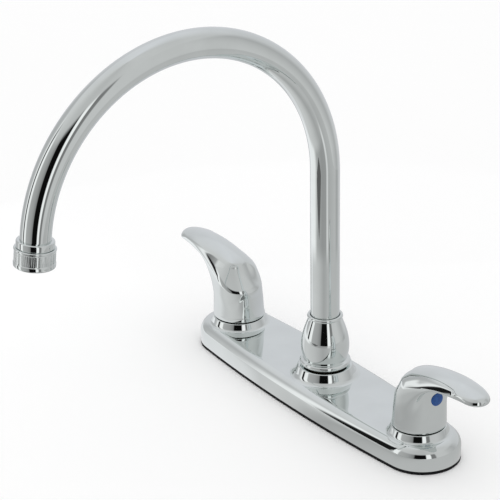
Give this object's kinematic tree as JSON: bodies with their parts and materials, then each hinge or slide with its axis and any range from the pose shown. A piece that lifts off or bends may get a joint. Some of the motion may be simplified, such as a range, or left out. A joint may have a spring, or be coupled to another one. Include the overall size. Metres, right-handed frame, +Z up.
{
  "type": "two handle faucet",
  "caption": "Deck faucet with a swivelling gooseneck spout held by a bell nut, a long bowed base plate, and a lever handle on a ceramic cartridge at each end.",
  "frame": {"origin": "on the sink deck, under the gasket, on the spout's swivel axis", "axes": "+Z up, +X to the user's right, which is the cold side, and the spout reaches forward along -Y at rest"},
  "size_m": [0.3332, 0.2677, 0.3409],
  "materials": {
    "chrome": "polished chrome plate",
    "brass": "machined brass",
    "copper": "drawn copper tube",
    "steel": "plain stainless steel",
    "rubber": "black rubber",
    "ceramic": "lapped alumina ceramic",
    "cartridge_plastic": "moulded plastic",
    "white_plastic": "moulded acetal",
    "blue_plastic": "gloss",
    "red_plastic": "gloss"
  },
  "bodies": {
    "base": {"deck_cover": "chrome", "deck_gasket": "rubber", "lock_washers": "steel", "lock_nuts": "brass", "spout_body": "brass", "spout_bush": "white_plastic", "spout_nut": "chrome", "hot_valve_body": "brass", "hot_cross_tube": "copper", "hot_seat_seal": "rubber", "hot_cartridge_body": "cartridge_plastic", "hot_fixed_disc": "ceramic", "hot_bonnet_nut": "brass", "cold_valve_body": "brass", "cold_cross_tube": "copper", "cold_seat_seal": "rubber", "cold_cartridge_body": "cartridge_plastic", "cold_fixed_disc": "ceramic", "cold_bonnet_nut": "brass"},
    "hot_lever": {"hot_handle": "chrome", "hot_index_button": "red_plastic", "hot_set_screw": "steel", "hot_stem": "brass", "hot_moving_disc": "ceramic", "hot_stem_o_ring": "rubber", "hot_stem_clip": "steel"},
    "cold_lever": {"cold_handle": "chrome", "cold_index_button": "blue_plastic", "cold_set_screw": "steel", "cold_stem": "brass", "cold_moving_disc": "ceramic", "cold_stem_o_ring": "rubber", "cold_stem_clip": "steel"},
    "spout": {"spout_tube": "chrome", "spout_tail_piece": "brass", "spout_o_rings": "rubber", "spout_retaining_ring": "white_plastic", "spout_end_collar": "chrome", "aerator_housing": "chrome", "aerator_washer": "rubber", "aerator_insert": "white_plastic", "aerator_screen": "steel"}
  },
  "joints": [
    {"name": "hot_turn", "type": "hinge", "parent": "base", "child": "hot_lever", "pos_m": [-0.1016, 0, 0], "axis": [0, 0, 1], "range_deg": [0, 90]},
    {"name": "cold_turn", "type": "hinge", "parent": "base", "child": "cold_lever", "pos_m": [0.1016, 0, 0], "axis": [0, 0, 1], "range_deg": [-90, 0]},
    {"name": "spout_swivel", "type": "hinge", "parent": "base", "child": "spout", "pos_m": [0, 0, 0], "axis": [0, 0, 1], "continuous": true}
  ]
}
